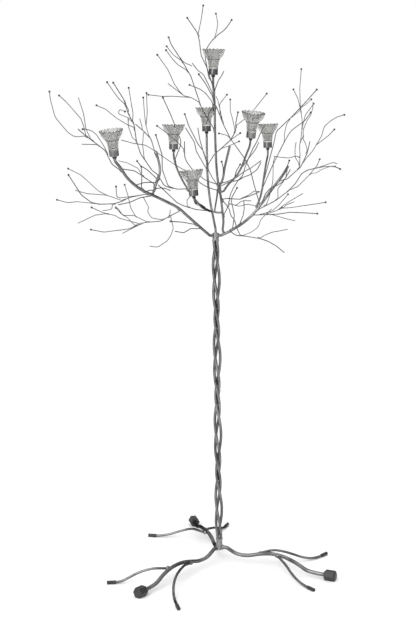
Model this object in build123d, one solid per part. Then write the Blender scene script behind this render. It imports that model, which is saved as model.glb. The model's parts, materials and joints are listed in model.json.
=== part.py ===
"""A tree-shaped floor candelabra of round metal rod, for seven candles in glass cups.

Three rods twisted together are the trunk. Three legs with side roots carry it, and seven stems, two free
stubs and ten sprays of wire twigs are the crown. Millimetres, +Z up. Every route below is given from the
trunk's foot on the floor; +X is to the right and +Y to the back. The model is then moved by TO_MIDDLE, so
that its origin is on the floor under the middle of the whole object.
"""

import os
from math import cos, radians, sin, tan, tau

from build123d import *

# ---- driving dimensions -------------------------------------------------------------------------------
TO_MIDDLE = Vector(57.5, 5.5, 0)  # from the middle of the whole object to the trunk's foot

# trunk
TRUNK_LEAN = -11.0  # how far the top of the trunk stands to the left of its foot
CROWN_Z = 945.0  # top of the crown collar
CROWN_COLLAR_R, CROWN_COLLAR_H = 8.9, 20.0
BASE_COLLAR_R, BASE_COLLAR_LOW, BASE_COLLAR_HIGH = 9.2, 38.0, 70.0
STRAND_R = 3.9
TURN = 219.0  # height of one full turn of the twist, and of one belly
BELLY_Z = 160.0  # height of the lowest belly
HELIX_R_TIGHT, HELIX_R_LOOSE = 5.2, 9.4
STRAND_START = 20.0  # degrees, where the first strand stands at height zero
STRAND_STEPS = 40
STRAND_UPRIGHT = 8.0  # both ends of a strand stand straight for this length
TWIST_LAG = 0.35  # how much slower the twist is where the strands belly out, in radians

# legs, roots and what they stand on
LEG_R = 5.3
ROOT_R = 3.5
CAP_FLATS, CAP_LENGTH, CAP_DEPTH = 27.0, 33.0, 20.0
SLEEVE_R, SLEEVE_LENGTH, SLEEVE_DEPTH = 4.9, 25.0, 14.0
CAP_END_CHAMFER, CAP_EDGE_R = 3.5, 1.5
SLIP = 0.1  # clearance all round a rod in a bore

# crown rods
ARM_R = 3.7
STEM_R = 3.0
THIN_STEM_R = 2.6
STRUT_R = 2.2

# candle fittings, heights measured from the socket's underside along its axis
FERRULE_WALL, FERRULE_H = 1.8, 6.0
SOCKET_R, SOCKET_H, SOCKET_WALL, SOCKET_FLOOR = 12.3, 15.5, 1.2, 2.0
CUP_CLEAR = 0.3  # gap between a glass cup and its socket
PEG_R = 10.8
FLANGE_R, FLANGE_TOP = 12.9, 19.0
BODY_LOW_R, BODY_HIGH_R, BODY_TOP = 13.3, 15.6, 38.5
WAIST_R, WAIST_TOP = 17.0, 41.5
SHOULDER_R, SHOULDER_Z = 26.6, 52.6
RIM_R, RIM_Z = 31.3, 68.0
BOWL_WALL, BOWL_FLOOR_R = 2.6, 13.1
SHOULDER_RISE = 1.3  # how much higher the shoulder is on the bowl's inside
CANDLE_R, CANDLE_FLOOR, CANDLE_TOP = 11.25, 20.5, 41.0
FLUTES, FLUTE_R = 18, 3.4
FLUTE_BITE = 1.2  # how deep a flute cuts into the bowl's wall
FLUTE_RUN_IN, FLUTE_OVERRUN = 1.0, 4.0  # how far a flute's cutter starts before and ends past a slope

# wire twigs
WIRE_R, THIN_WIRE_R = 1.25, 1.0
BUD_R = 2.8
WELD_RUN = 8.0  # how far a twig runs along its parent before it leaves it
WELD_GAP = 0.15

BUD, BARE = True, False
STANDING = (Align.CENTER, Align.CENTER, Align.MIN)


# ---- rods ---------------------------------------------------------------------------------------------
def bend_radii(points, share, largest):
    """The radius of each bend: as large as its two runs allow, times share, and at most largest."""
    radii = []
    for before, here, after in zip(points, points[1:], points[2:]):
        run_in, run_out = here - before, after - here
        half_turn = radians(run_in.get_angle(run_out)) / 2
        shorter = min(run_in.length, run_out.length)
        radii.append(min(share * shorter / tan(half_turn), largest))
    return radii


def rod_path(points, share=0.45, largest=1e6):
    """Straight runs joined by tangent arcs through a route's points."""
    points = [Vector(*p) for p in points]
    return FilletPolyline(*points, radius=bend_radii(points, share, largest))


def rod(path, radius):
    """A round rod along a path, with flat ends."""
    section = Plane(origin=path @ 0, z_dir=path % 0) * Circle(radius)
    return sweep(section, path=path)


def nearest(path, point, steps=120):
    """How far along a path, from 0 to 1, it passes nearest to a point."""
    return min((i / steps for i in range(steps + 1)), key=lambda t: (path @ t - Vector(*point)).length)


def across(direction, tangent):
    """The unit part of a direction that is square to a tangent."""
    return (direction - tangent * direction.dot(tangent)).normalized()


def butt_start(parent, parent_r, route):
    """A rod welded end-on to its parent: its route with a first short run square to the parent."""
    t = nearest(parent, route[0])
    foot, tangent = parent @ t, parent % t
    out = across(Vector(*route[1]) - foot, tangent)
    start = foot + out * (parent_r + SLIP)
    return [start, start + out * WELD_RUN, *route[1:]]


def side_start(parent, parent_r, radius, route):
    """A wire welded beside its parent: its route with a first short run along the parent."""
    t = nearest(parent, route[0])
    foot, tangent = parent @ t, parent % t
    onward = Vector(*route[1]) - foot
    along = tangent if onward.dot(tangent) >= 0 else tangent * -1
    start = foot + across(onward, tangent) * (parent_r + radius + WELD_GAP)
    return [start - along * WELD_RUN / 2, start + along * WELD_RUN / 2, *route[1:]]


# ---- trunk --------------------------------------------------------------------------------------------
def lean_at(z):
    """The trunk's axis moves this far sideways by height z."""
    return TRUNK_LEAN * z / CROWN_Z


def strand_point(number, z):
    """A point of one trunk strand, which turns clockwise seen from above as it climbs."""
    swing = cos(tau * (z - BELLY_Z) / TURN)
    helix_r = HELIX_R_TIGHT + (HELIX_R_LOOSE - HELIX_R_TIGHT) * (1 + swing) / 2
    turned = tau * z / TURN - TWIST_LAG * sin(tau * (z - BELLY_Z) / TURN)
    angle = radians(STRAND_START + 120 * number) - turned
    return Vector(lean_at(z) + helix_r * cos(angle), helix_r * sin(angle), z)


def trunk_rod(number):
    low, high = BASE_COLLAR_HIGH, CROWN_Z - CROWN_COLLAR_H
    step = (high - low - 2 * STRAND_UPRIGHT) / STRAND_STEPS
    twisted = [strand_point(number, low + STRAND_UPRIGHT + step * i) for i in range(STRAND_STEPS + 1)]
    end_run = Vector(0, 0, STRAND_UPRIGHT)
    return rod(rod_path([twisted[0] - end_run, *twisted, twisted[-1] + end_run]), STRAND_R)


def base_collar():
    height = BASE_COLLAR_HIGH - BASE_COLLAR_LOW
    return Pos(0, 0, BASE_COLLAR_LOW) * Cylinder(BASE_COLLAR_R, height, align=STANDING)


def crown_collar():
    low = Pos(lean_at(CROWN_Z), 0, CROWN_Z - CROWN_COLLAR_H)
    return low * Cylinder(CROWN_COLLAR_R, CROWN_COLLAR_H, align=STANDING)


# ---- legs ---------------------------------------------------------------------------------------------
# each leg has the same S wave: how far out, how high, and its own heading at each of those points
LEG_WAVE = [(9.5, 45), (22, 45), (50, 27), (82, 24), (115, 32), (150, 39), (190, 38), (232, 31), (270, 18)]
LEG_END = (300, 13.5)
LEG_HEADINGS = {
    "left": [228, 228, 227, 225, 225, 226, 227, 229, 231, 231],
    "right": [350, 350, 350, 350, 349, 346, 342, 337, 334, 335],
    "back": [101, 101, 100, 99, 100, 102, 104, 104, 104, 103],
}
CAP_OUT = 352  # how far out a cap's far end stands


def outward(distance, heading, z):
    return Vector(distance * cos(radians(heading)), distance * sin(radians(heading)), z)


def leg_route(name):
    headings = LEG_HEADINGS[name]
    points = [outward(r, heading, z) for (r, z), heading in zip([*LEG_WAVE, LEG_END], headings)]
    tip = outward(CAP_OUT - CAP_LENGTH + CAP_DEPTH, headings[-1], LEG_END[1])
    return [*points, tip]


def foot_cap(tip, direction):
    """A six-sided cap, one flat on the floor, with a bore that holds the leg's end."""
    back = tip - direction * CAP_DEPTH
    plane = Plane(origin=back, x_dir=Vector(0, 0, 1), z_dir=direction)
    blank = extrude(plane * RegularPolygon(CAP_FLATS / 2, 6, major_radius=False, rotation=30), CAP_LENGTH)
    ends = blank.faces().filter_by(Axis(back, direction))
    blank = chamfer(ends.edges(), CAP_END_CHAMFER)
    blank = fillet(blank.edges(), CAP_EDGE_R)
    return blank - extrude(plane * Circle(LEG_R + SLIP), CAP_DEPTH + SLIP)


# side roots: the leg each leaves, and its route out to the sleeve
ROOTS = {
    "root_left_outer": ("left", [
        (-140, -150, 40), (-176, -156, 40), (-202, -161, 37), (-228, -165, 28), (-252, -167, 15),
        (-273, -168, 5.2), (-297, -171, 5.2)]),
    "root_left_front": ("left", [
        (-84, -85, 33), (-97, -122, 36), (-110, -165, 37), (-119, -200, 33), (-124, -235, 25),
        (-124, -270, 13), (-119, -302, 5.2), (-110, -345, 5.2)]),
    "root_right_back": ("right", [
        (118, -20, 40), (153, -17, 43), (183, -13, 37), (211, -6, 26), (238, 1, 14),
        (262, 11, 7), (286, 27, 5.2), (306, 51, 5.2)]),
    "root_right_front": ("right", [
        (165, -52, 38), (184, -113, 33), (195, -146, 24), (210, -172, 13), (229, -195, 5.2),
        (246, -218, 5.2)]),
    "root_back_left": ("back", [
        (-38, 155, 38), (-80, 203, 32), (-114, 215, 20), (-152, 212, 9), (-182, 214, 5.2), (-202, 217, 5.2)]),
    "root_back_right": ("back", [
        (-42, 180, 38), (-12, 240, 22), (8, 268, 9), (20, 296, 5.2), (26, 314, 5.2)]),
}


def sleeve(tip, direction):
    """A short round sleeve closed at its far end, over a root's tip."""
    plane = Plane(origin=tip - direction * SLEEVE_DEPTH, z_dir=direction)
    blank = extrude(plane * Circle(SLEEVE_R), SLEEVE_LENGTH)
    return blank - extrude(plane * Circle(ROOT_R + SLIP), SLEEVE_DEPTH + SLIP)


# ---- candle fittings ----------------------------------------------------------------------------------
# the middle of each socket's underside, and the cup's lean as sideways and backwards run per unit of height
CUPS = {
    1: ((-272, -200, 1161), (-0.11, -0.16)),
    2: ((-126, 20, 1172), (0, 0)),
    3: ((-36, 168, 1219), (-0.02, 0)),
    4: ((80, -120, 1206), (0.10, -0.16)),
    5: ((138, 160, 1173), (-0.02, 0)),
    6: ((-69, -150, 1056), (-0.10, -0.02)),
    7: ((-18, 0, 1372), (0.02, 0)),
}

CUP_STEMS = {
    1: "left_arm", 2: "cup_stem_2", 3: "rear_stem", 4: "cup_stem_4", 5: "cup_stem_5", 6: "cup_stem_6",
    7: "top_stem",
}


def cup_axis(number):
    lean_x, lean_y = CUPS[number][1]
    return Vector(lean_x, lean_y, 1).normalized()


def cup_plane(number):
    return Plane(origin=CUPS[number][0], x_dir=(1, 0, 0.1), z_dir=cup_axis(number))


def ferrule(stem_r):
    """A ring round the stem's end, right under its socket."""
    blank = Cylinder(stem_r + SLIP + FERRULE_WALL, FERRULE_H, align=STANDING)
    return Pos(0, 0, -FERRULE_H) * (blank - Cylinder(stem_r + SLIP, FERRULE_H, align=STANDING))


def candle_socket():
    """A plain round metal cup that the glass stands in."""
    outline = Polyline(
        (0, 0), (SOCKET_R - 1, 0), (SOCKET_R, 1), (SOCKET_R, SOCKET_H), (SOCKET_R - SOCKET_WALL, SOCKET_H),
        (SOCKET_R - SOCKET_WALL, SOCKET_FLOOR), (0, SOCKET_FLOOR), close=True)
    return revolve(Plane.XZ * make_face(outline), Axis.Z)


def flute_cutter(low, high, run_in):
    """A round bar that cuts one flute into a straight slope of the bowl's outside."""
    rise = (high - low).normalized()
    outside = Vector(rise.Z, 0, -rise.X)
    start = low - rise * run_in + outside * (FLUTE_R - FLUTE_BITE)
    length = (high - low).length + run_in + FLUTE_OVERRUN
    return extrude(Plane(origin=start, z_dir=rise) * Circle(FLUTE_R), length)


def glass_cup():
    """A thick fluted glass: a peg for the socket, a straight body for the candle and a bell-shaped bowl."""
    peg_low = SOCKET_FLOOR + CUP_CLEAR
    flange_low = SOCKET_H + CUP_CLEAR
    outline = Polyline(
        (0, peg_low), (PEG_R - 1, peg_low), (PEG_R, peg_low + 1), (PEG_R, flange_low), (FLANGE_R, flange_low),
        (FLANGE_R, FLANGE_TOP), (BODY_LOW_R, FLANGE_TOP), (BODY_HIGH_R, BODY_TOP), (WAIST_R, BODY_TOP),
        (WAIST_R, WAIST_TOP), (SHOULDER_R, SHOULDER_Z), (RIM_R, RIM_Z), (RIM_R - BOWL_WALL, RIM_Z),
        (SHOULDER_R - BOWL_WALL, SHOULDER_Z + SHOULDER_RISE), (BOWL_FLOOR_R, CANDLE_TOP),
        (CANDLE_R, CANDLE_TOP), (CANDLE_R, CANDLE_FLOOR), (0, CANDLE_FLOOR), close=True)
    glass = revolve(Plane.XZ * make_face(outline), Axis.Z)
    # flutes are round grooves that run up the outside of the bowl, over its two slopes
    waist, shoulder = Vector(WAIST_R, 0, WAIST_TOP), Vector(SHOULDER_R, 0, SHOULDER_Z)
    slopes = [
        flute_cutter(waist, shoulder, FLUTE_RUN_IN),
        flute_cutter(shoulder, Vector(RIM_R, 0, RIM_Z), FLUTE_OVERRUN),
    ]
    for number in range(FLUTES):
        for cutter in slopes:
            glass -= Rot(0, 0, 360 / FLUTES * number) * cutter
    return glass


# ---- crown rods ---------------------------------------------------------------------------------------
def stem_end(number, approach=22.0):
    """The last two points of a stem: it comes up the cup's axis to the socket's underside."""
    seat = Vector(*CUPS[number][0])
    return [seat - cup_axis(number) * approach, seat]


def collar_side(heading, z):
    """Where a rod butts against the side of the crown collar, and a point a little further out."""
    middle = Vector(lean_at(CROWN_Z), 0, 0)
    reach = CROWN_COLLAR_R + SLIP
    return [middle + outward(reach, heading, z), middle + outward(reach + WELD_RUN, heading, z)]


def crown_rods():
    """Every load-bearing rod of the crown: its name to its path and radius."""
    top = Vector(lean_at(CROWN_Z), 0, CROWN_Z)
    rods = {}
    rods["left_arm"] = rod_path([
        *collar_side(205, 938), (-52, -27, 962), (-88, -52, 996), (-112, -70, 1020), (-160, -97, 1046),
        (-212, -128, 1072), (-243, -152, 1102), (-260, -176, 1133), *stem_end(1, 14)]), ARM_R
    rods["right_arm"] = rod_path([
        *collar_side(15, 938), (32, 9, 951), (65, 19, 970), (97, 28, 998), (124, 34, 1034), (152, 43, 1072),
        (178, 54, 1104), (190, 60, 1125)]), ARM_R
    rods["rear_stem"] = rod_path([
        top, top + Vector(0, 0, 10), (-17, 26, 983), (-26, 58, 1026), (-33, 98, 1083), (-35, 138, 1146),
        *stem_end(3)]), STEM_R
    rods["top_stem"] = rod_path(butt_start(rods["right_arm"][0], ARM_R, [
        (12, 4, 946), (11, 5, 975), (7, 1, 1010), (2, -7, 1052), (-6, -5, 1090), (-10, 1, 1140),
        (-13, 3, 1220), (-14, 1, 1300), *stem_end(7)])), STEM_R
    stem, stem_r = rods["top_stem"]
    rods["cup_stem_2"] = rod_path(butt_start(stem, stem_r, [
        (7, 0, 1001), (-26, 3, 1004), (-58, 6, 1024), (-76, 9, 1048), (-98, 12, 1080), (-116, 16, 1116),
        *stem_end(2)])), THIN_STEM_R
    rods["cup_stem_4"] = rod_path(butt_start(stem, stem_r, [
        (2, -7, 1058), (22, -18, 1078), (42, -38, 1098), (58, -62, 1126), (68, -88, 1158),
        *stem_end(4)])), THIN_STEM_R
    arm = rods["right_arm"][0]
    rods["cup_stem_5"] = rod_path(butt_start(arm, ARM_R, [
        (106, 30, 1010), (112, 50, 1034), (120, 76, 1064), (126, 104, 1100), (133, 134, 1134),
        *stem_end(5)])), THIN_STEM_R
    branch, branch_r = rods["cup_stem_2"]
    rods["cup_stem_6"] = rod_path(butt_start(branch, branch_r, [
        (-44, 5, 1014), (-49, -48, 1024), (-57, -104, 1031), (-65, -140, 1036),
        *stem_end(6, 9)])), THIN_STEM_R
    rods["cup_strut_6"] = rod_path(butt_start(branch, branch_r, [
        (-22, 3, 1004), (-30, -48, 1010), (-46, -100, 1020), (-58, -132, 1034)])), STRUT_R
    rods["stub_left"] = rod_path(butt_start(rods["left_arm"][0], ARM_R, [
        (-180, -110, 1056), (-168, -102, 1088), (-160, -88, 1108), (-160, -76, 1128), (-165, -63, 1148),
        (-171, -50, 1168)])), STEM_R
    rods["stub_centre"] = rod_path(butt_start(stem, stem_r, [
        (-3, -6, 1080), (9, -22, 1096), (12, -34, 1120), (18, -46, 1148), (26, -60, 1182)])), STEM_R
    rods["hub_strut"] = rod_path([
        (-14, -6, 1006), (-11, -8, 1024), (-7, -13, 1048), (-6, -13, 1068)]), STRUT_R
    return rods


# ---- twigs --------------------------------------------------------------------------------------------
# each wire: its name in the spray, the rod or wire it is welded to, whether it ends in a bud, and its route
TWIGS = {
    "twigs_top_spray": [
        ("a", "top_stem", BUD, [(-15, -10, 1335), (-35, -50, 1390), (-50, -55, 1420), (-55, -50, 1460),
            (-60, -45, 1480), (-85, -60, 1515)]),
        ("b", "a", BUD, [(-55, -45, 1475), (-50, -35, 1515), (-45, -20, 1550)]),
        ("c", "top_stem", BUD, [(-20, 0, 1345), (-30, 20, 1365), (-35, 40, 1395), (-40, 45, 1420),
            (-35, 45, 1445), (-25, 40, 1460), (-15, 40, 1470), (-5, 35, 1480), (10, 30, 1490),
            (20, 20, 1500), (30, 10, 1515)]),
        ("d", "c", BUD, [(-15, 40, 1470), (-10, 45, 1485), (-5, 50, 1510), (-10, 60, 1535)]),
        ("e", "top_stem", BARE, [(-15, 10, 1315), (-30, 20, 1345), (-45, 30, 1375), (-60, 40, 1385),
            (-75, 50, 1405)]),
        ("f", "top_stem", BUD, [(-15, 0, 1290), (-20, -15, 1315), (-40, -35, 1350), (-55, -50, 1370)]),
        ("g", "top_stem", BUD, [(-15, 0, 1270), (-20, 5, 1300), (-40, 15, 1325), (-55, 20, 1335),
            (-80, 30, 1345)]),
        ("h", "top_stem", BARE, [(-15, -10, 1325), (-5, -20, 1355), (5, -25, 1370), (10, -35, 1380)]),
        ("i", "top_stem", BARE, [(-14, 1, 1300), (-19, 17, 1288), (-29, 27, 1270), (-36, 40, 1240)]),
    ],
    "twigs_upper_left": [
        ("a", "top_stem", BUD, [(-15, 0, 1225), (-35, -10, 1260), (-50, -15, 1285), (-65, -25, 1330),
            (-78, -36, 1368), (-100, -45, 1405), (-130, -50, 1450), (-135, -60, 1465)]),
        ("b", "a", BUD, [(-90, -30, 1380), (-110, -55, 1395), (-125, -85, 1410), (-140, -110, 1430)]),
        ("c", "a", BUD, [(-100, -50, 1405), (-124, -22, 1423), (-142, 5, 1446)]),
        ("d", "a", BARE, [(-55, -20, 1295), (-75, -55, 1310), (-95, -85, 1315), (-115, -120, 1330),
            (-135, -150, 1345)]),
        ("e", "d", BUD, [(-115, -90, 1330), (-120, -115, 1345), (-135, -145, 1380), (-160, -170, 1415)]),
        ("f", "d", BUD, [(-90, -60, 1315), (-130, -15, 1315), (-155, 35, 1315), (-195, 80, 1320)]),
        ("g", "cup_stem_2", BUD, [(-120, 30, 1140), (-105, 75, 1190), (-125, 80, 1240),
            (-135, 80, 1265), (-155, 60, 1310)]),
        ("h", "a", BARE, [(-105, -45, 1410), (-90, -25, 1400), (-85, -10, 1400), (-75, 0, 1395)]),
    ],
    "twigs_left_high": [
        ("a", "stub_left", BUD, [(-160, -90, 1100), (-180, -100, 1120), (-190, -105, 1135),
            (-210, -110, 1165), (-220, -120, 1200), (-225, -125, 1240), (-240, -135, 1270),
            (-250, -145, 1305), (-275, -150, 1345)]),
        ("b", "a", BUD, [(-245, -140, 1290), (-260, -165, 1305), (-270, -195, 1320), (-286, -210, 1345)]),
        ("c", "a", BUD, [(-230, -120, 1245), (-230, -85, 1270), (-235, -45, 1285), (-245, -10, 1335)]),
        ("d", "a", BUD, [(-225, -120, 1230), (-245, -95, 1240), (-275, -72, 1257), (-305, -45, 1280),
            (-330, -20, 1290)]),
        ("e", "a", BUD, [(-230, -125, 1255), (-245, -130, 1260), (-266, -130, 1268),
            (-262, -136, 1280), (-250, -140, 1275)]),
        ("f", "stub_left", BARE, [(-170, -50, 1155), (-185, -25, 1200), (-205, 5, 1220),
            (-230, 30, 1240)]),
        ("g", "a", BARE, [(-220, -120, 1195), (-230, -115, 1205), (-240, -126, 1235), (-240, -132, 1256)]),
        ("h", "f", BUD, [(-195, -20, 1210), (-200, 5, 1235), (-205, 35, 1260), (-210, 60, 1310)]),
        ("i", "h", BUD, [(-205, 0, 1250), (-195, -30, 1270), (-195, -60, 1320)]),
        ("j", "a", BARE, [(-195, -110, 1145), (-200, -120, 1155), (-203, -130, 1188), (-200, -140, 1220)]),
        ("k", "a", BARE, [(-238, -133, 1266), (-240, -108, 1278),
            (-247, -95, 1290), (-251, -90, 1303)]),
        ("l", "f", BARE, [(-200, 0, 1220), (-210, -5, 1225), (-210, -20, 1235), (-215, -40, 1255)]),
    ],
    "twigs_left_inner": [
        ("a", "top_stem", BARE, [(-5, 0, 1075), (-40, -10, 1090), (-75, -20, 1120), (-90, -25, 1140),
            (-95, -35, 1155), (-95, -45, 1195)]),
        ("b", "a", BARE, [(-60, -20, 1110), (-100, -30, 1120), (-125, -35, 1135), (-170, -20, 1165),
            (-200, -30, 1185), (-230, -60, 1190), (-260, -110, 1200)]),
        ("c", "cup_stem_2", BUD, [(-85, 10, 1065), (-115, -5, 1065), (-130, -15, 1070),
            (-140, -30, 1075), (-155, -45, 1120), (-155, -55, 1160), (-170, -70, 1210)]),
        ("d", "a", BUD, [(-95, -45, 1170), (-115, -55, 1195), (-145, -65, 1220), (-165, -75, 1235)]),
        ("e", "rear_stem", BUD, [(-35, 120, 1135), (-45, 105, 1165), (-60, 90, 1185), (-75, 80, 1215),
            (-85, 65, 1235), (-95, 50, 1265)]),
        ("f", "rear_stem", BARE, [(-35, 115, 1110), (-45, 110, 1130), (-65, 105, 1165),
            (-70, 105, 1190), (-95, 100, 1230)]),
        ("g", "top_stem", BARE, [(-5, -5, 1075), (-20, 5, 1095), (-30, 10, 1115), (-35, 20, 1135),
            (-45, 35, 1165), (-55, 45, 1200), (-60, 60, 1230)]),
        ("h", "top_stem", BARE, [(-10, -5, 1055), (-20, 10, 1065), (-35, 25, 1070), (-55, 45, 1080),
            (-65, 60, 1095)]),
        ("j", "stub_left", BARE, [(-170, -100, 1090), (-190, -125, 1090), (-200, -140, 1090),
            (-220, -160, 1085)]),
        ("k", "stub_left", BARE, [(-165, -95, 1100), (-155, -85, 1090), (-150, -75, 1080),
            (-140, -70, 1075), (-125, -60, 1070)]),
        ("l", "stub_left", BARE, [(-175, -105, 1070), (-155, -120, 1075), (-145, -135, 1075),
            (-130, -150, 1070)]),
        ("m", "stub_left", BARE, [(-175, -105, 1070), (-185, -130, 1070), (-200, -160, 1065)]),
    ],
    "twigs_far_left": [
        ("a", "left_arm", BARE, [(-260, -170, 1120), (-280, -185, 1140), (-295, -200, 1175),
            (-320, -210, 1195), (-345, -225, 1215), (-360, -240, 1230)]),
        ("b", "a", BUD, [(-345, -220, 1210), (-370, -230, 1210), (-386, -240, 1222),
            (-400, -250, 1240), (-415, -260, 1260), (-425, -270, 1305), (-425, -280, 1320)]),
        ("c", "a", BUD, [(-340, -220, 1210), (-350, -190, 1235), (-360, -160, 1255),
            (-380, -130, 1275), (-405, -100, 1300), (-425, -70, 1315)]),
        ("d", "a", BARE, [(-330, -210, 1200), (-345, -190, 1230), (-350, -165, 1250),
            (-355, -145, 1270), (-370, -120, 1310)]),
        ("e", "a", BUD, [(-295, -190, 1170), (-300, -205, 1190), (-315, -220, 1215),
            (-325, -230, 1225), (-340, -245, 1230), (-345, -260, 1230)]),
        ("f", "a", BARE, [(-310, -200, 1190), (-330, -175, 1190), (-360, -150, 1190)]),
    ],
    "twigs_low_left": [
        ("a", "left_arm", BUD, [(-190, -115, 1060), (-240, -125, 1050), (-260, -135, 1040),
            (-280, -145, 1035), (-315, -160, 1035), (-335, -170, 1040), (-360, -180, 1060),
            (-390, -190, 1110)]),
        ("b", "a", BUD, [(-255, -130, 1045), (-300, -105, 1055), (-325, -80, 1065), (-355, -60, 1090),
            (-375, -35, 1105), (-410, -10, 1120)]),
        ("c", "b", BARE, [(-295, -100, 1055), (-350, -120, 1060), (-380, -140, 1070)]),
        ("d", "a", BUD, [(-315, -165, 1035), (-375, -135, 1040), (-405, -100, 1035), (-435, -70, 1040)]),
        ("e", "a", BARE, [(-275, -150, 1035), (-285, -135, 1020), (-310, -120, 1015)]),
        ("f", "a", BUD, [(-215, -125, 1060), (-265, -145, 1050), (-270, -160, 1055), (-270, -180, 1080)]),
        ("g", "left_arm", BARE, [(-185, -100, 1055), (-215, -55, 1045), (-245, -15, 1030),
            (-280, 30, 1020)]),
        ("h", "left_arm", BUD, [(-205, -130, 1070), (-205, -145, 1095), (-205, -160, 1130)]),
        ("i", "stub_left", BUD, [(-165, -90, 1090), (-195, -55, 1120), (-215, -25, 1130),
            (-225, 10, 1140)]),
        ("j", "stub_left", BARE, [(-170, -110, 1080), (-225, -120, 1120), (-255, -130, 1125)]),
        ("k", "j", BARE, [(-205, -120, 1105), (-215, -110, 1125), (-245, -100, 1140), (-270, -90, 1145)]),
    ],
    "twigs_under_left": [
        ("a", "left_arm", BUD, [(-110, -60, 1015), (-135, -45, 995), (-160, -30, 980),
            (-205, -15, 975), (-230, -5, 965), (-250, 10, 955), (-320, 25, 945), (-355, 40, 950)]),
        ("b", "a", BUD, [(-220, -30, 970), (-270, -60, 990), (-280, -90, 1000), (-310, -120, 1010),
            (-335, -150, 1025)]),
        ("c", "b", BARE, [(-305, -100, 1005), (-335, -80, 1000), (-365, -60, 985), (-385, -40, 975)]),
        ("d", "a", BARE, [(-220, -20, 970), (-270, 40, 940)]),
        ("e", "a", BUD, [(-200, -30, 975), (-230, 0, 990), (-245, 30, 1010), (-255, 60, 1045),
            (-265, 90, 1070)]),
        ("f", "e", BUD, [(-230, 0, 990), (-265, -20, 995), (-280, -40, 1015)]),
        ("g", "a", BARE, [(-155, -45, 985), (-185, -55, 990), (-195, -65, 1010), (-190, -80, 1020),
            (-205, -90, 1050)]),
        ("h", "a", BARE, [(-140, -55, 990), (-125, -75, 965), (-130, -95, 950), (-140, -120, 935),
            (-165, -140, 920), (-185, -160, 925)]),
        ("i", "left_arm", BUD, [(-65, -35, 975), (-100, -65, 980), (-130, -100, 985)]),
        ("j", "left_arm", BARE, [(-55, -20, 965), (-80, 20, 955), (-100, 60, 940), (-125, 100, 940)]),
        ("k", "cup_stem_2", BARE, [(-30, 5, 1005), (-65, -10, 1010), (-95, -25, 1020),
            (-115, -40, 1030), (-150, -55, 1065), (-165, -70, 1080)]),
        ("l", "k", BARE, [(-90, -10, 1015), (-90, 0, 1035), (-80, 10, 1045)]),
        ("m", "a", BARE, [(-230, -5, 970), (-245, -10, 980), (-255, -10, 990), (-265, -15, 995),
            (-275, -15, 1010), (-285, -20, 1020)]),
        ("n", "a", BARE, [(-135, -45, 990), (-135, -30, 1000), (-135, -20, 1010)]),
    ],
    "twigs_centre": [
        ("a", "right_arm", BARE, [(110, 30, 1020), (95, 35, 1075), (85, 35, 1115), (70, 40, 1145),
            (45, 40, 1180), (30, 45, 1200), (10, 45, 1240), (-10, 50, 1290)]),
        ("b", "a", BUD, [(0, 45, 1260), (0, 85, 1295), (20, 120, 1320)]),
        ("c", "a", BARE, [(5, 45, 1245), (-5, 40, 1305), (-10, 30, 1315)]),
        ("d", "rear_stem", BUD, [(-35, 120, 1125), (-15, 110, 1155), (30, 95, 1195), (45, 85, 1220),
            (45, 70, 1245), (50, 60, 1270)]),
        ("e", "d", BUD, [(45, 80, 1215), (35, 90, 1260), (30, 100, 1275), (30, 110, 1305)]),
        ("f", "a", BUD, [(30, 45, 1200), (20, 35, 1210), (0, 20, 1215)]),
        ("g", "d", BUD, [(20, 90, 1185), (35, 65, 1200), (55, 40, 1215)]),
        ("h", "d", BUD, [(0, 100, 1170), (30, 135, 1180), (55, 170, 1190)]),
        ("i", "stub_centre", BUD, [(11, -28, 1108), (9, -46, 1124), (5, -62, 1140)]),
        ("j", "cup_stem_4", BUD, [(40, -30, 1095), (45, -10, 1115), (55, 10, 1130)]),
        ("k", "d", BUD, [(50, 70, 1230), (70, 45, 1255), (90, 25, 1275), (125, 0, 1320)]),
        ("l", "top_stem", BARE, [(0, -5, 1075), (20, 5, 1085), (45, 20, 1095), (65, 30, 1110),
            (85, 40, 1120), (102, 44, 1132), (115, 60, 1140)]),
        ("m", "top_stem", BARE, [(5, -5, 1070), (25, -15, 1085), (50, -25, 1090), (65, -35, 1100),
            (80, -40, 1105), (100, -50, 1120), (110, -60, 1140)]),
        ("n", "top_stem", BARE, [(5, 5, 990), (20, 15, 1010), (25, 20, 1025), (30, 30, 1050),
            (40, 35, 1070), (50, 45, 1085), (65, 55, 1100), (70, 60, 1120), (80, 70, 1145),
            (100, 80, 1170), (110, 90, 1190)]),
        ("o", "top_stem", BARE, [(2, -5, 1033), (20, -3, 1040), (40, -30, 1040), (55, -40, 1040),
            (65, -50, 1045), (80, -60, 1050), (105, -80, 1062)]),
        ("p", "o", BARE, [(65, -50, 1045), (80, -70, 1055), (90, -90, 1065), (105, -110, 1065)]),
        ("q", "n", BARE, [(25, 20, 1020), (45, 5, 1020), (55, -10, 1030), (65, -15, 1035),
            (85, -30, 1035)]),
        ("r", "n", BARE, [(25, 20, 1020), (55, 40, 1015), (75, 55, 1020), (100, 70, 1015)]),
        ("s", "top_stem", BARE, [(1, -6, 1047), (12, -18, 1030), (25, -30, 1015), (30, -40, 995),
            (40, -50, 985), (45, -60, 965), (55, -70, 945)]),
    ],
    "twigs_high_right": [
        ("a", "right_arm", BARE, [(165, 50, 1080), (185, 30, 1090), (205, 15, 1110), (220, -5, 1125),
            (230, -25, 1150), (235, -40, 1165), (240, -60, 1195)]),
        ("b", "a", BUD, [(215, 0, 1120), (220, 20, 1155), (220, 45, 1180), (226, 65, 1208),
            (230, 85, 1245), (225, 105, 1295), (225, 130, 1340), (230, 150, 1390)]),
        ("c", "b", BUD, [(225, 90, 1280), (220, 125, 1310), (210, 160, 1335)]),
        ("d", "cup_stem_5", BUD, [(120, 80, 1075), (150, 50, 1190), (155, 40, 1220), (180, 20, 1245),
            (200, 10, 1265), (235, -30, 1305), (255, -60, 1330)]),
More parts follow.
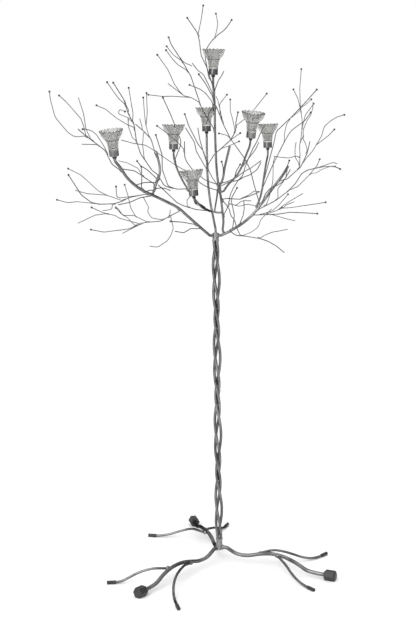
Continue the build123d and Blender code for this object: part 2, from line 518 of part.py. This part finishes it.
        ("e", "cup_stem_5", BUD, [(120, 70, 1065), (145, 80, 1120), (175, 90, 1180), (195, 100, 1215),
            (205, 110, 1225), (240, 120, 1250), (255, 130, 1270)]),
        ("f", "b", BUD, [(230, 70, 1235), (240, 110, 1265), (265, 150, 1295)]),
        ("g", "a", BUD, [(225, -20, 1140), (250, -35, 1170), (260, -55, 1190), (270, -70, 1210),
            (275, -90, 1235), (290, -105, 1250), (305, -125, 1260), (320, -140, 1265)]),
        ("h", "g", BUD, [(260, -50, 1190), (295, 0, 1210), (315, 50, 1225)]),
        ("i", "b", BARE, [(220, 20, 1150), (210, 0, 1155), (185, -20, 1150), (145, -40, 1155)]),
        ("j", "e", BARE, [(170, 90, 1165), (180, 80, 1190), (180, 70, 1215), (185, 65, 1240),
            (195, 60, 1255)]),
        ("k", "d", BUD, [(195, 10, 1265), (215, 5, 1275), (220, 5, 1285), (235, 0, 1295), (245, 0, 1305)]),
        ("l", "b", BARE, [(225, 55, 1190), (230, 50, 1205), (230, 50, 1225), (240, 45, 1250),
            (250, 45, 1265), (255, 40, 1285), (255, 40, 1300)]),
        ("m", "l", BARE, [(230, 50, 1205), (235, 35, 1190), (240, 25, 1170), (235, 20, 1160)]),
        ("n", "cup_stem_4", BARE, [(70, -70, 1130), (75, -85, 1150), (85, -105, 1175),
            (95, -130, 1195), (105, -150, 1220), (115, -170, 1240)]),
        ("o", "b", BARE, [(215, 10, 1130), (206, 14, 1150), (205, 5, 1175), (207, -5, 1192)]),
    ],
    "twigs_low_right": [
        ("a", "right_arm", BUD, [(105, 30, 1005), (130, 15, 1020), (155, 0, 1035), (185, -15, 1060),
            (203, -32, 1080), (220, -50, 1110), (235, -65, 1120), (280, -80, 1130), (305, -95, 1130),
            (315, -110, 1125)]),
        ("b", "a", BARE, [(255, -70, 1125), (305, -55, 1140), (315, -40, 1135)]),
        ("c", "a", BUD, [(190, -10, 1060), (215, 30, 1070), (245, 70, 1095), (275, 110, 1125),
            (285, 150, 1140)]),
        ("d", "right_arm", BUD, [(175, 55, 1090), (185, 40, 1120), (190, 20, 1140)]),
        ("e", "right_arm", BUD, [(90, 30, 990), (115, 60, 990), (165, 85, 990), (200, 113, 993),
            (230, 140, 990), (280, 170, 985)]),
        ("f", "e", BARE, [(130, 50, 990), (160, 30, 1005), (175, 10, 1020), (195, -10, 1035),
            (225, -30, 1055)]),
        ("g", "f", BUD, [(165, 20, 1010), (195, -5, 1015), (245, -35, 1025), (265, -60, 1030),
            (280, -90, 1035)]),
        ("h", "e", BUD, [(125, 50, 990), (150, 85, 1000), (170, 115, 1015), (195, 150, 1040)]),
        ("i", "e", BARE, [(150, 60, 990), (185, 50, 980), (210, 40, 975)]),
        ("j", "right_arm", BARE, [(25, 5, 950), (45, -20, 940), (70, -40, 940), (110, -60, 935),
            (130, -85, 930), (150, -105, 920), (170, -130, 905)]),
        ("k", "j", BARE, [(105, -60, 935), (120, -70, 945), (140, -85, 955), (160, -100, 960),
            (180, -110, 965)]),
        ("l", "j", BARE, [(60, -30, 940), (85, -35, 950), (105, -40, 965), (110, -45, 985),
            (140, -50, 1015)]),
        ("m", "right_arm", BARE, [(55, 15, 960), (65, 0, 995), (67, -13, 1015), (65, -30, 1035)]),
        ("n", "right_arm", BUD, [(35, 10, 950), (40, -15, 995), (30, -35, 1040), (45, -60, 1070)]),
        ("o", "a", BARE, [(125, 15, 1020), (135, 10, 1040), (141, 8, 1065), (145, 0, 1085),
            (145, -10, 1115), (145, -15, 1140), (150, -20, 1155)]),
        ("p", "right_arm", BARE, [(115, 35, 1030), (125, 20, 1050), (140, -5, 1070), (155, -13, 1075),
            (170, -15, 1085), (180, -25, 1100), (190, -40, 1120)]),
        ("q", "a", BARE, [(155, 0, 1040), (160, 25, 1065), (175, 50, 1080), (185, 70, 1095),
            (190, 90, 1115)]),
        ("r", "c", BARE, [(255, 80, 1100), (270, 80, 1105), (285, 80, 1115), (305, 84, 1122),
            (325, 80, 1125)]),
        ("s", "g", BARE, [(172, 16, 1011), (182, 14, 1020), (192, -2, 1026), (202, -14, 1031)]),
    ],
}


def spray(wires, rods):
    """One spray of twigs: its wires, and the buds on their tips."""
    paths, solids, buds = {}, [], []
    for name, parent, has_bud, route in wires:
        on_rod = parent in rods
        parent_path, parent_r = rods[parent] if on_rod else paths[parent]
        radius = WIRE_R if on_rod else THIN_WIRE_R
        path = rod_path(side_start(parent_path, parent_r, radius, route), share=0.4, largest=30)
        paths[name] = (path, radius)
        solids.append(rod(path, radius))
        if has_bud:
            buds.append(Pos(path @ 1 + (path % 1) * (BUD_R + 0.02)) * Sphere(BUD_R))
    return solids, buds


# ---- every node ---------------------------------------------------------------------------------------
def group(solids):
    """Several separate solids that share one node."""
    return Compound(children=[solid for shape in solids for solid in shape.solids()])


def make_nodes():
    nodes = {f"trunk_rod_{n + 1}": trunk_rod(n) for n in range(3)}
    nodes["base_collar"] = base_collar()
    nodes["crown_collar"] = crown_collar()

    legs = {name: rod_path(leg_route(name)) for name in LEG_HEADINGS}
    for name, path in legs.items():
        nodes[f"leg_{name}"] = rod(path, LEG_R)
        nodes[f"foot_cap_{name}"] = foot_cap(path @ 1, path % 1)
    sleeves = []
    for name, (leg, route) in ROOTS.items():
        path = rod_path(side_start(legs[leg], LEG_R, ROOT_R, route))
        nodes[name] = rod(path, ROOT_R)
        sleeves.append(sleeve(path @ 1, path % 1))
    nodes["root_sleeves"] = group(sleeves)

    rods = crown_rods()
    for name, (path, radius) in rods.items():
        nodes[name] = rod(path, radius)

    socket, glass = candle_socket(), glass_cup()
    ferrules = []
    for number in CUPS:
        place = cup_plane(number).location
        nodes[f"candle_socket_{number}"] = place * socket
        nodes[f"glass_cup_{number}"] = place * glass
        ferrules.append(place * ferrule(rods[CUP_STEMS[number]][1]))
    nodes["socket_ferrules"] = group(ferrules)

    buds = []
    for name, wires in TWIGS.items():
        solids, tips = spray(wires, rods)
        nodes[name] = group(solids)
        buds += tips
    nodes["buds"] = group(buds)
    return nodes


def main():
    os.makedirs("parts", exist_ok=True)
    for name, shape in make_nodes().items():
        export_step(Pos(TO_MIDDLE) * shape, f"parts/{name}.step")


main()
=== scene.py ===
"""The looks of the tree-shaped candelabra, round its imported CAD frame. Metres, +Z up, +Y to the back."""

import json
import math

import bmesh
import bpy
from mathutils import Matrix, Vector, noise
from mathutils.bvhtree import BVHTree


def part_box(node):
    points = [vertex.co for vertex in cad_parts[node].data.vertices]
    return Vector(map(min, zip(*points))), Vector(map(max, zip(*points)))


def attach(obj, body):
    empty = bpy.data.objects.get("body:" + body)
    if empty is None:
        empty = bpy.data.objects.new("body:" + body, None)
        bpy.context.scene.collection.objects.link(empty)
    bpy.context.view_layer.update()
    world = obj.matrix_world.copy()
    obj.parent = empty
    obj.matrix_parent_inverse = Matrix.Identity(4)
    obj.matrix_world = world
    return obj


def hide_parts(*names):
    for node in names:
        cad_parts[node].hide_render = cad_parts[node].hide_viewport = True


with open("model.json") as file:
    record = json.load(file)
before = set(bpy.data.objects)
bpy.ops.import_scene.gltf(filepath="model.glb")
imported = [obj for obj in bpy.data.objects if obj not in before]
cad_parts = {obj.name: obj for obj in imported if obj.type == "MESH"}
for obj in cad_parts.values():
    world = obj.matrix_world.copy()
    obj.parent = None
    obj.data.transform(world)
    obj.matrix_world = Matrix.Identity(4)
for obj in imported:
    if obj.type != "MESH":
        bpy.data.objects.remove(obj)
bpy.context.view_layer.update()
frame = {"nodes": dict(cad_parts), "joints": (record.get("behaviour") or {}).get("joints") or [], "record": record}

MM = 0.001

# ---- camera -------------------------------------------------------------------------------------------
CAMERA_PLACE = (0.0255, -3.4295, 1.265)
CAMERA_DOWN = 0.1559  # radians below the horizontal
LENS = 72.3  # millimetres, for a sensor 36 mm high


def add_camera():
    data = bpy.data.cameras.new("camera")
    data.sensor_fit = "VERTICAL"
    data.sensor_height = 36
    data.lens = LENS
    camera = bpy.data.objects.new("camera", data)
    camera.location = CAMERA_PLACE
    camera.rotation_euler = (math.pi / 2 - CAMERA_DOWN, 0, 0)
    bpy.context.scene.collection.objects.link(camera)
    bpy.context.scene.camera = camera


# ---- small mesh helpers -------------------------------------------------------------------------------
def link(name, mesh, body, material):
    """A finished mesh as a piece that rides on a body."""
    obj = bpy.data.objects.new(name, mesh)
    bpy.context.scene.collection.objects.link(obj)
    obj.data.materials.append(material)
    for polygon in mesh.polygons:
        polygon.use_smooth = True
    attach(obj, body)
    return obj


def frame_along(axis):
    """A rotation that takes +Z to an axis."""
    return Vector(axis).to_track_quat("Z", "Y").to_matrix().to_4x4()


# ---- node helpers -------------------------------------------------------------------------------------
class Nodes:
    """A material with short calls for the nodes that it needs."""

    def __init__(self, name):
        self.material = bpy.data.materials.new(name)
        self.material.use_nodes = True
        self.tree = self.material.node_tree
        self.shader = self.tree.nodes["Principled BSDF"]
        self.place = self.add("ShaderNodeTexCoord").outputs["Object"]

    def add(self, kind, **settings):
        node = self.tree.nodes.new(kind)
        for key, value in settings.items():
            setattr(node, key, value)
        return node

    def join(self, output, target):
        self.tree.links.new(output, target)

    def set(self, **sockets):
        for name, value in sockets.items():
            self.shader.inputs[name.replace("_", " ")].default_value = value

    def noise(self, scale, detail=4.0, roughness=0.55):
        node = self.add("ShaderNodeTexNoise")
        node.inputs["Scale"].default_value = scale
        node.inputs["Detail"].default_value = detail
        node.inputs["Roughness"].default_value = roughness
        self.join(self.place, node.inputs["Vector"])
        return node.outputs["Fac"]

    def ramp(self, value, *stops):
        node = self.add("ShaderNodeValToRGB")
        stops_in = node.color_ramp.elements
        while len(stops_in) < len(stops):
            stops_in.new(0.5)
        for stop, (place, colour) in zip(stops_in, stops):
            stop.position = place
            stop.color = (*colour, 1)
        self.join(value, node.inputs["Fac"])
        return node.outputs["Color"]

    def spread(self, value, low, high):
        """A 0 to 1 value spread over another range."""
        node = self.add("ShaderNodeMapRange")
        node.inputs["From Min"].default_value = 0.3
        node.inputs["From Max"].default_value = 0.7
        node.inputs["To Min"].default_value = low
        node.inputs["To Max"].default_value = high
        self.join(value, node.inputs["Value"])
        return node.outputs["Result"]

    def mix(self, factor, first, second):
        node = self.add("ShaderNodeMix", data_type="RGBA")
        for key, value in (("Factor", factor), ("A", first), ("B", second)):
            socket = [s for s in node.inputs if s.name == key and (s.type == "RGBA" or key == "Factor")][0]
            if isinstance(value, (float, int)):
                socket.default_value = value
            elif isinstance(value, tuple):
                socket.default_value = (*value, 1)
            else:
                self.join(value, socket)
        return [s for s in node.outputs if s.type == "RGBA"][0]

    def bump(self, *layers):
        """Height layers, each (value, distance in metres), stacked into the shader's normal."""
        normal = None
        for value, distance in layers:
            node = self.add("ShaderNodeBump")
            node.inputs["Strength"].default_value = 1.0
            node.inputs["Distance"].default_value = distance
            self.join(value, node.inputs["Height"])
            if normal:
                self.join(normal, node.inputs["Normal"])
            normal = node.outputs["Normal"]
        self.join(normal, self.shader.inputs["Normal"])


def grey(value, warm=0.0):
    return (value * (1 + warm), value, value * (1 - warm))


# ---- materials ----------------------------------------------------------------------------------------
def forged_metal(name, dark, light, rough_low, rough_high, dent=0.00012):
    """Grey pewter over forged rod: cloudy patina, fine scale marks and shallow hammer dents."""
    m = Nodes(name)
    clouds = m.noise(28, detail=5)
    specks = m.noise(420, detail=3, roughness=0.7)
    base = m.ramp(clouds, (0.3, grey(dark)), (0.5, grey((dark + light) / 2)), (0.72, grey(light)))
    base = m.mix(m.spread(specks, 0.0, 0.35), base, grey(dark * 0.55, 0.01))
    m.join(base, m.shader.inputs["Base Color"])
    m.join(m.spread(m.noise(90), rough_low, rough_high), m.shader.inputs["Roughness"])
    m.set(Metallic=1.0, Specular_Tint=(0.08, 0.08, 0.08, 1))
    m.bump((m.noise(120, detail=2), dent), (specks, dent * 0.35))
    return m.material


def weld_metal(name):
    """Brighter, lumpy metal of a weld that was ground and coated."""
    m = Nodes(name)
    lumps = m.noise(260, detail=3, roughness=0.6)
    base = m.ramp(lumps, (0.3, grey(0.13)), (0.5, grey(0.3)), (0.7, grey(0.48)))
    m.join(base, m.shader.inputs["Base Color"])
    m.join(m.spread(lumps, 0.42, 0.26), m.shader.inputs["Roughness"])
    m.set(Metallic=1.0, Specular_Tint=(0.3, 0.3, 0.3, 1))
    m.bump((lumps, 0.0004))
    return m.material


def black_rubber(name):
    """Moulded rubber, with a fine grain and a little dust."""
    m = Nodes(name)
    grain = m.noise(900, detail=2)
    dust = m.noise(60, detail=4)
    base = m.ramp(dust, (0.35, grey(0.014, 0.02)), (0.7, grey(0.032, 0.03)))
    m.join(base, m.shader.inputs["Base Color"])
    m.join(m.spread(dust, 0.38, 0.55), m.shader.inputs["Roughness"])
    m.set(Specular_IOR_Level=0.5)
    m.bump((grain, 0.00008))
    return m.material


def pressed_glass(name):
    """Thick pressed glass, faintly smoky, with the slow waves of its mould."""
    m = Nodes(name)
    waves = m.noise(55, detail=1)
    tint = m.ramp(waves, (0.3, (0.48, 0.48, 0.468)), (0.7, (0.66, 0.66, 0.65)))
    m.join(tint, m.shader.inputs["Base Color"])
    m.join(m.spread(waves, 0.01, 0.04), m.shader.inputs["Roughness"])
    m.set(Transmission_Weight=1.0, IOR=1.5)
    m.bump((waves, 0.0003))
    return m.material


MATERIALS = {
    "rod_metal": forged_metal("pewter_rod", 0.11, 0.33, 0.22, 0.38),
    "twig_wire": forged_metal("pewter_wire", 0.09, 0.24, 0.28, 0.46, dent=0.00006),
    "weld_collar": weld_metal("weld_bright"),
    "bud_bead": forged_metal("bead_dark", 0.05, 0.13, 0.25, 0.4, dent=0.0001),
    "socket_metal": forged_metal("socket_spun", 0.14, 0.36, 0.16, 0.3, dent=0.00008),
    "ferrule_dark": forged_metal("ferrule_dark", 0.03, 0.08, 0.25, 0.4, dent=0.00005),
    "black_cap": black_rubber("cap_rubber"),
    "cup_glass": pressed_glass("cup_glass"),
}


def dress_cad_nodes():
    """Every carried-over CAD node gets its slot's material."""
    for part in frame["record"]["subparts"]:
        obj = frame["nodes"][part["node"]]
        obj.data.materials.clear()
        obj.data.materials.append(MATERIALS[part["material_slot"]])


# ---- glass cups ---------------------------------------------------------------------------------------
PETALS = 18
STEPS_PER_PETAL = 12
PETAL_DEPTH = 2.2 * MM
SCALLOP = 3.4 * MM
# radius, height, how much of the petals shows there, how much of the rim's scallop; from the peg's
# underside, up the outside, over the rim, and down the inside to the candle's floor, in millimetres
CUP_OUTLINE = [
    (0, 2.3, 0, 0), (6, 2.3, 0, 0), (9.8, 2.3, 0, 0), (10.5, 2.6, 0, 0), (10.8, 3.4, 0, 0), (10.8, 9, 0, 0),
    (10.8, 15.6, 0, 0), (11.2, 15.9, 0, 0), (12.4, 15.9, 0, 0), (12.9, 16.4, 0, 0), (12.9, 18.3, 0, 0),
    (12.7, 18.9, 0, 0), (13.2, 19.5, 0, 0), (13.6, 24, 0, 0), (14.3, 29, 0, 0), (15.0, 34, 0, 0),
    (15.5, 38.1, 0, 0), (16.3, 38.7, 0, 0), (16.9, 39.4, 0.1, 0), (17.0, 40.9, 0.2, 0), (18.9, 43.8, 0.4, 0),
    (22.3, 47.7, 0.55, 0), (25.3, 51.3, 0.7, 0.02), (27.0, 54.1, 0.8, 0.08), (28.4, 58, 0.87, 0.3),
    (29.8, 62.4, 0.94, 0.62), (30.9, 66.3, 1, 0.92), (31.2, 67.5, 1, 1), (31.0, 68, 1, 1), (30.2, 67.9, 1, 1),
    (29.0, 66.3, 1, 0.95), (27.5, 61.8, 0.9, 0.6), (25.8, 57, 0.75, 0.3), (23.7, 53.3, 0.55, 0.06),
    (20.1, 49, 0.35, 0), (16.5, 44.8, 0.15, 0), (14.1, 42.1, 0.05, 0), (12.9, 41.1, 0, 0), (11.7, 41, 0, 0),
    (11.3, 40.4, 0, 0), (11.25, 34, 0, 0), (11.25, 27, 0, 0), (11.25, 21.4, 0, 0), (10.8, 20.7, 0, 0),
    (6, 20.5, 0, 0), (0, 20.5, 0, 0),
]


def cup_mesh(name, place):
    """A lathe-turned cup whose bowl swells into petals, with a scalloped rim."""
    bm = bmesh.new()
    around = PETALS * STEPS_PER_PETAL
    rings = []
    for radius, height, petal, scallop in CUP_OUTLINE:
        if radius == 0:
            rings.append([bm.verts.new((0, 0, height * MM))])
            continue
        ring = []
        for step in range(around):
            turn = math.tau * step / around
            swell = abs(math.cos(PETALS * turn / 2)) ** 0.8
            r = radius * MM - PETAL_DEPTH * petal * (1 - swell)
            z = height * MM - SCALLOP * scallop * (1 - swell)
            ring.append(bm.verts.new((r * math.cos(turn), r * math.sin(turn), z)))
        rings.append(ring)
    for below, above in zip(rings, rings[1:]):
        for step in range(around):
            after = (step + 1) % around
            if len(below) == 1:
                bm.faces.new((below[0], above[after], above[step]))
            elif len(above) == 1:
                bm.faces.new((below[step], below[after], above[0]))
            else:
                bm.faces.new((below[step], below[after], above[after], above[step]))
    bm.transform(place)
    bmesh.ops.recalc_face_normals(bm, faces=bm.faces)
    mesh = bpy.data.meshes.new(name)
    bm.to_mesh(mesh)
    bm.free()
    return mesh


def socket_place(node, axis):
    """Where a socket's underside is, from its mesh, as a matrix whose +Z is the cup's axis."""
    axis = Vector(axis).normalized()
    points = [v.co for v in frame["nodes"][node].data.vertices]
    low = min(p.dot(axis) for p in points)
    rim = max(p.dot(axis) for p in points)
    top = [p for p in points if p.dot(axis) > rim - 0.1 * MM]
    middle = middle_of_ring(top, axis)
    foot = middle + axis * (low - middle.dot(axis))
    return Matrix.Translation(foot) @ frame_along(axis)


def middle_of_ring(points, axis):
    """The middle of a round outline: half way between its furthest points, in two directions."""
    side = axis.orthogonal().normalized()
    up = axis.cross(side)
    middle = Vector()
    for direction in (side, up):
        reach = [p.dot(direction) for p in points]
        middle += direction * (min(reach) + max(reach)) / 2
    return middle + axis * points[0].dot(axis)


def add_cups():
    for joint in frame["joints"]:
        body = joint["child"]
        number = body.split("_")[-1]
        place = socket_place(f"candle_socket_{number}", joint["axis"])
        mesh = cup_mesh(f"cup_glass_{number}", place)
        cup = link(f"fluted_cup_{number}", mesh, body, MATERIALS["cup_glass"])
        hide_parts(f"glass_cup_{number}")


# ---- welds and collars ---------------------------------------------------------------------------------
TOUCH = 1.5 * MM  # a rod's end this near another rod's surface is welded to it
SHARP = math.radians(50)  # the angle at the edge round a rod's flat end
FLAT = 0.999  # how nearly parallel the normals of a flat end are
THIN = 1.5 * MM  # the radius that parts a twig's wire from a rod
BUTT_GAP = 0.5 * MM  # an end with its middle nearer than this butts; the others lie beside
RING_SINK, RING_LEAST, RING_SHARE = 0.3 * MM, 1.1 * MM, 0.42
BEAD_BACK = 3.2 * MM  # from a wire's end back to the middle of the bead beside it
# half the length of a bead beside its parent, and how far it stands proud, on a wire and on a rod
WIRE_BEAD, ROD_BEAD = (5.2 * MM, 0.75 * MM), (7 * MM, 1.4 * MM)


class RodEnd:
    """One flat end of one rod or wire: its middle, its radius and which way it faces."""

    def __init__(self, owner, faces, loop):
        points = [v.co for v in loop]
        self.owner = owner
        self.middle = sum(points, Vector()) / len(points)
        self.radius = sum((p - self.middle).length for p in points) / len(points)
        self.facing = sum((f.normal * f.calc_area() for f in faces), Vector()).normalized()


def spread_over(start, neighbours):
    """Everything that can be reached from a start."""
    found, waiting = {start}, [start]
    while waiting:
        for item in neighbours(waiting.pop()):
            if item not in found:
                found.add(item)
                waiting.append(item)
    return found


def face_groups(faces, crosses):
    """Faces in groups that hang together over the edges that can be crossed, in a fixed order."""
    groups, left = [], dict.fromkeys(sorted(faces, key=lambda face: face.index))
    allowed = set(left)
    while left:
        first = next(iter(left))
        group = spread_over(
            first, lambda f: (g for e in f.edges if crosses(e) for g in e.link_faces if g in allowed))
        groups.append(sorted(group, key=lambda face: face.index))
        for face in group:
            del left[face]
    return groups


def read_rods():
    """The flat ends of every rod and wire, and one tree over all their surfaces with each face's owner."""
    ends, corners, faces_of, owners = [], [], [], []
    for part in frame["record"]["subparts"]:
        if part["material_slot"] not in ("rod_metal", "twig_wire", "weld_collar"):
            continue
        bm = bmesh.new()
        bm.from_mesh(frame["nodes"][part["node"]].data)
        bmesh.ops.remove_doubles(bm, verts=bm.verts, dist=1e-6)
        bm.normal_update()
        bm.verts.index_update()
        bm.faces.index_update()
        for number, solid in enumerate(face_groups(bm.faces, lambda edge: True)):
            owner = (part["node"], number)
            base = len(corners)
            at = {}
            for face in solid:
                for corner in face.verts:
                    if corner not in at:
                        at[corner] = base + len(at)
                        corners.append(corner.co.copy())
                faces_of.append([at[corner] for corner in face.verts])
                owners.append(owner)
            if part["material_slot"] == "weld_collar":
                continue
            for side in face_groups(solid, lambda edge: edge.calc_face_angle(0) < SHARP):
                first = side[0].normal
                if all(face.normal.dot(first) > FLAT for face in side):
                    rim = dict.fromkeys(v for face in side for v in face.verts)
                    ends.append(RodEnd(owner, side, list(rim)))
        bm.free()
    return ends, BVHTree.FromPolygons(corners, faces_of), owners


def lumpy_ball(bm, middle, along, half_length, half_width, seed):
    """A blob of weld metal, longer along one direction."""
    place = Matrix.Translation(middle) @ frame_along(along)
    ball = bmesh.ops.create_icosphere(bm, subdivisions=3, radius=1)["verts"]
    for vert in ball:
        lump = 1 + 0.3 * noise.noise(vert.co * 1.9 + Vector((seed, 0, 0)))
        vert.co = place @ Vector((vert.co.x * half_width * lump, vert.co.y * half_width * lump,
                                  vert.co.z * half_length * lump))


def lumpy_ring(bm, middle, along, radius, thick, seed, around=28, across=10):
    """A bead of weld metal round a rod's end."""
    place = Matrix.Translation(middle) @ frame_along(along)
    rings = []
    for i in range(around):
        turn = math.tau * i / around
        out = Vector((math.cos(turn), math.sin(turn), 0))
        size = thick * (1 + 0.45 * noise.noise(out * 2.3 + Vector((seed, 0, 0))))
        ring = []
        for k in range(across):
            tip = math.tau * k / across
            ring.append(bm.verts.new(place @ (out * (radius + size * math.cos(tip))
                                              + Vector((0, 0, size * math.sin(tip))))))
        rings.append(ring)
    for i in range(around):
        for k in range(across):
            near, far, on = rings[i], rings[(i + 1) % around], (k + 1) % across
            bm.faces.new((near[k], far[k], far[on], near[on]))


def nearest_other(end, tree, owners, reach):
    """The nearest point on another rod's surface within reach of an end, and its distance."""
    near = [(hit[3], hit[0]) for hit in tree.find_nearest_range(end.middle, reach)
            if owners[hit[2]] != end.owner]
    return min(near, key=lambda hit: hit[0]) if near else (None, None)


def add_welds():
    """A bead wherever a rod or a wire is welded on: round an end that butts, along one that lies beside."""
    ends, tree, owners = read_rods()
    beads, wires = bmesh.new(), bmesh.new()
    for seed, end in enumerate(ends):
        distance, touch = nearest_other(end, tree, owners, end.radius + TOUCH)
        if touch is None:
            continue
        side = touch - end.middle
        side -= end.facing * side.dot(end.facing)
        if distance < BUTT_GAP:
            lumpy_ring(beads, end.middle - end.facing * RING_SINK, end.facing, end.radius,
                       max(RING_LEAST, end.radius * RING_SHARE), seed)
        elif side.length > end.radius * 0.6:
            bead, (half_length, proud) = (wires, WIRE_BEAD) if end.radius < THIN else (beads, ROD_BEAD)
            middle = end.middle - end.facing * BEAD_BACK + side * 0.5
            lumpy_ball(bead, middle, end.facing, half_length, end.radius + proud, seed)
    for name, bm in (("rod_weld_beads", beads), ("twig_weld_beads", wires)):
        bmesh.ops.recalc_face_normals(bm, faces=bm.faces)
        mesh = bpy.data.meshes.new(name)
        bm.to_mesh(mesh)
        bm.free()
        link(name, mesh, "frame", MATERIALS["weld_collar"])


# how far in from its greatest radius, in millimetres, and how far up, from 0 to 1
BASE_COLLAR = [
    (1.2, 0), (0.5, 0.02), (0.1, 0.06), (0, 0.14), (0.3, 0.4), (0.2, 0.64), (0.6, 0.7), (1.5, 0.73),
    (1.5, 0.77), (0.5, 0.8), (0.1, 0.84), (0.1, 0.94), (0.5, 0.98), (1.3, 1),
]
CROWN_COLLAR = [
    (1.1, 0), (0.4, 0.04), (0, 0.14), (0.1, 0.34), (0.6, 0.46), (0.7, 0.54), (0.1, 0.66), (0, 0.86),
    (0.4, 0.96), (1.1, 1),
]
COLLAR_DENT = 0.35 * MM


def add_collar(node, outline, around=72):
    """A hand-finished collar, turned to an outline and slightly uneven, in a plain collar's place."""
    low, high = (Vector(corner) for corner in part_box(node))
    middle = (low + high) / 2
    radius = (high.x - low.x) / 2
    bm = bmesh.new()
    rings = []
    for inset, rise in outline:
        ring = []
        for step in range(around):
            out = Vector((math.cos(math.tau * step / around), math.sin(math.tau * step / around), 0))
            dent = COLLAR_DENT * (0.5 + 0.5 * noise.noise(out * 2.2 + Vector((0, 0, rise * 4))))
            point = out * (radius - inset * MM - dent)
            height = low.z + (high.z - low.z) * rise
            ring.append(bm.verts.new((middle.x + point.x, middle.y + point.y, height)))
        rings.append(ring)
    for below, above in zip(rings, rings[1:]):
        for step in range(around):
            on = (step + 1) % around
            bm.faces.new((below[step], below[on], above[on], above[step]))
    bm.faces.new(rings[0][::-1])
    bm.faces.new(rings[-1])
    bmesh.ops.recalc_face_normals(bm, faces=bm.faces)
    mesh = bpy.data.meshes.new(node)
    bm.to_mesh(mesh)
    bm.free()
    collar = link(f"turned_{node}", mesh, "frame", MATERIALS["weld_collar"])
    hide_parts(node)


# ---- floor and light ----------------------------------------------------------------------------------
# how bright the studio is through glass, by how nearly straight back one looks
BACKDROP_FALL = {"From Min": 0.32, "From Max": 0.97, "To Min": 0.05, "To Max": 1.0}
STUDIO_GREY = 0.3


def add_floor():
    bm = bmesh.new()
    bmesh.ops.create_circle(bm, cap_ends=True, segments=96, radius=40)
    mesh = bpy.data.meshes.new("floor")
    bm.to_mesh(mesh)
    bm.free()
    floor = bpy.data.objects.new("floor", mesh)
    bpy.context.scene.collection.objects.link(floor)
    m = Nodes("pale_floor")
    m.set(Base_Color=(0.93, 0.93, 0.93, 1), Roughness=0.9, Specular_IOR_Level=0.1)
    mesh.materials.append(m.material)


def add_sun(name, toward, strength, width):
    """Soft light from one side, the same everywhere. width is the lamp's apparent size in degrees."""
    data = bpy.data.lights.new(name, "SUN")
    data.energy = strength
    data.angle = math.radians(width)
    light = bpy.data.objects.new(name, data)
    light.rotation_euler = Vector(toward).to_track_quat("-Z", "Y").to_euler()
    bpy.context.scene.collection.objects.link(light)


def add_softbox(name, place, aim, size, power):
    data = bpy.data.lights.new(name, "AREA")
    data.shape = "RECTANGLE"
    data.size, data.size_y = size
    data.energy = power
    light = bpy.data.objects.new(name, data)
    light.location = place
    light.rotation_euler = (Vector(aim) - Vector(place)).to_track_quat("-Z", "Y").to_euler()
    bpy.context.scene.collection.objects.link(light)


def add_world():
    """A white backdrop. Glass sees the studio fall off to grey beside it, and metal sees an even grey."""
    world = bpy.data.worlds.new("studio")
    bpy.context.scene.world = world
    world.use_nodes = True
    nodes, links = world.node_tree.nodes, world.node_tree.links
    background = nodes["Background"]
    background.inputs["Color"].default_value = (1, 1, 1, 1)

    def spread(value, settings):
        node = nodes.new("ShaderNodeMapRange")
        for name, setting in settings.items():
            node.inputs[name].default_value = setting
        links.new(value, node.inputs["Value"])
        return node

    place = nodes.new("ShaderNodeTexCoord")
    split = nodes.new("ShaderNodeSeparateXYZ")
    links.new(place.outputs["Generated"], split.inputs["Vector"])
    path = nodes.new("ShaderNodeLightPath")
    through_glass = spread(split.outputs["Y"], BACKDROP_FALL)
    through_glass.interpolation_type = "SMOOTHSTEP"
    indirect = spread(path.outputs["Is Transmission Ray"], {"To Min": STUDIO_GREY})
    links.new(through_glass.outputs["Result"], indirect.inputs["To Max"])
    seen = spread(path.outputs["Is Camera Ray"], {"To Max": 1.0})
    links.new(indirect.outputs["Result"], seen.inputs["To Min"])
    links.new(seen.outputs["Result"], background.inputs["Strength"])


def add_stage():
    bpy.context.scene.view_settings.view_transform = "Standard"
    add_world()
    add_floor()
    add_sun("sky", (0, 0, -1), 1.8, 120)
    add_sun("key", (0.6, 0.75, -1), 1.0, 50)
    add_softbox("front", (-1.6, -3.2, 1.6), (0, 0, 0.8), (1.2, 2.4), 26)
    add_softbox("over_camera", (-0.2, -3.3, 2.6), (0, 0, 0.7), (1.6, 0.9), 34)


add_camera()
add_stage()
dress_cad_nodes()
add_cups()
add_welds()
add_collar("base_collar", BASE_COLLAR)
add_collar("crown_collar", CROWN_COLLAR)

bpy.context.view_layer.update()
